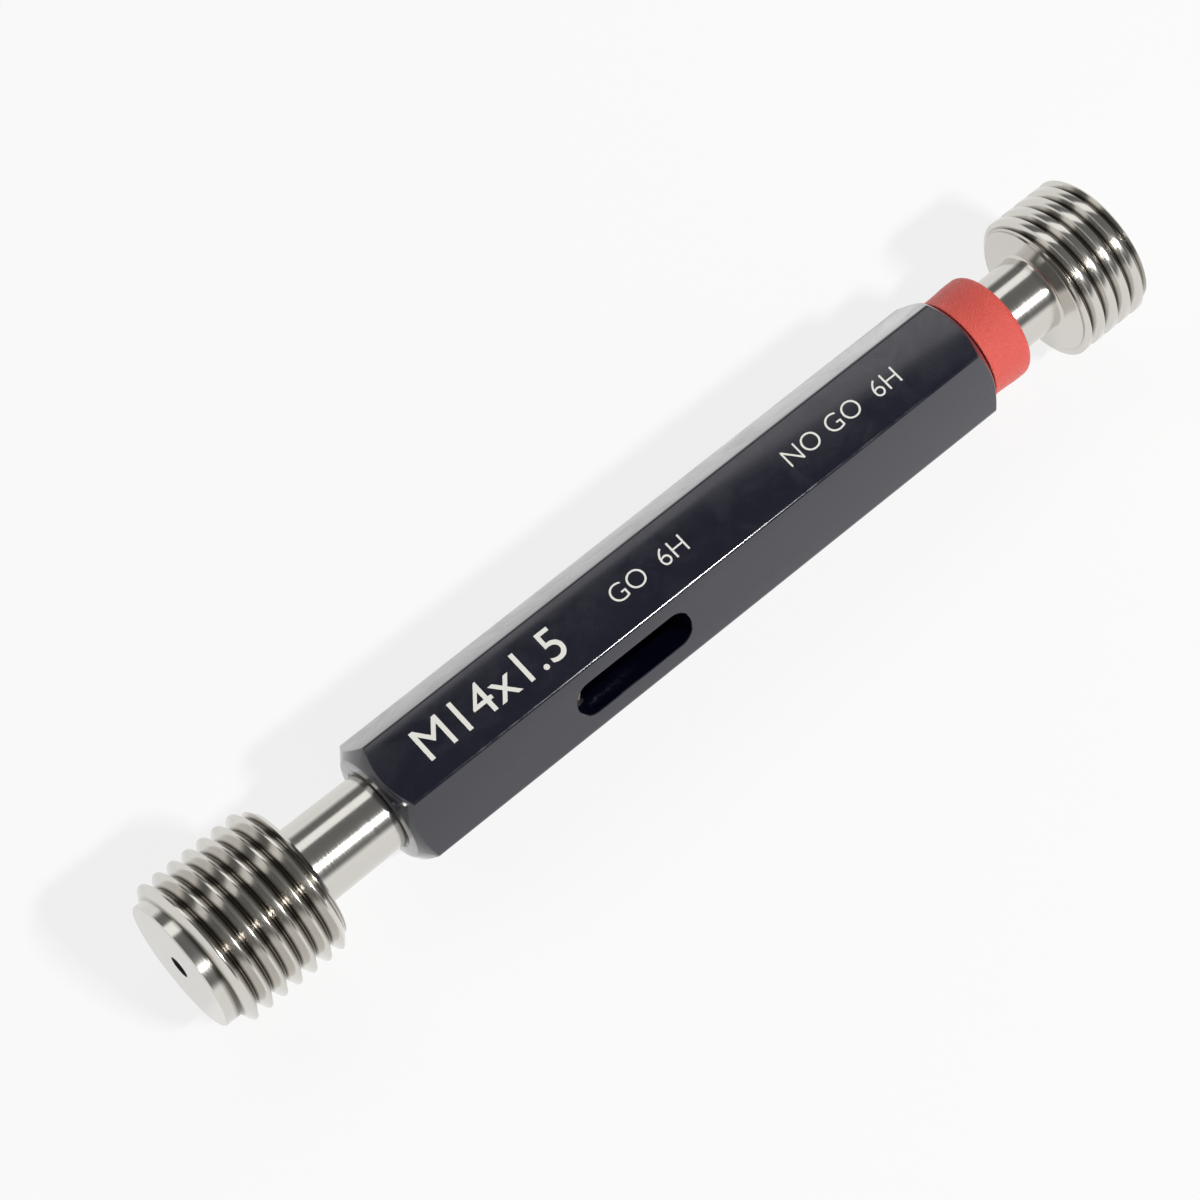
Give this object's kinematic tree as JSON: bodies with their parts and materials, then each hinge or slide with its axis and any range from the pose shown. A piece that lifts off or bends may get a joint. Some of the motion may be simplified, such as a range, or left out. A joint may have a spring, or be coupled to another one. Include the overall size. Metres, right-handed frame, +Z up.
{
  "type": "thread plug gauge",
  "caption": "Double-ended GO / NO-GO thread plug gauge: taper-locked ground steel members in a black anodised hexagonal handle, with a red collar marking the NO-GO end.",
  "frame": {"origin": "on the surface the gauge lies on, below the middle of its length", "axes": "+X along the gauge from its GO end to its NO-GO end, +Z up and square to the marked flat of the handle"},
  "size_m": [0.1002, 0.014, 0.014],
  "materials": {
    "black_anodised": "gloss black anodised aluminium bar",
    "gauge_steel": "hardened gauge steel, ground and lapped",
    "red_plastic": "coral red moulded plastic, satin"
  },
  "bodies": {
    "root": {"handle": "black_anodised", "go_plug": "gauge_steel", "nogo_plug": "gauge_steel", "nogo_ring": "red_plastic"}
  },
  "joints": []
}
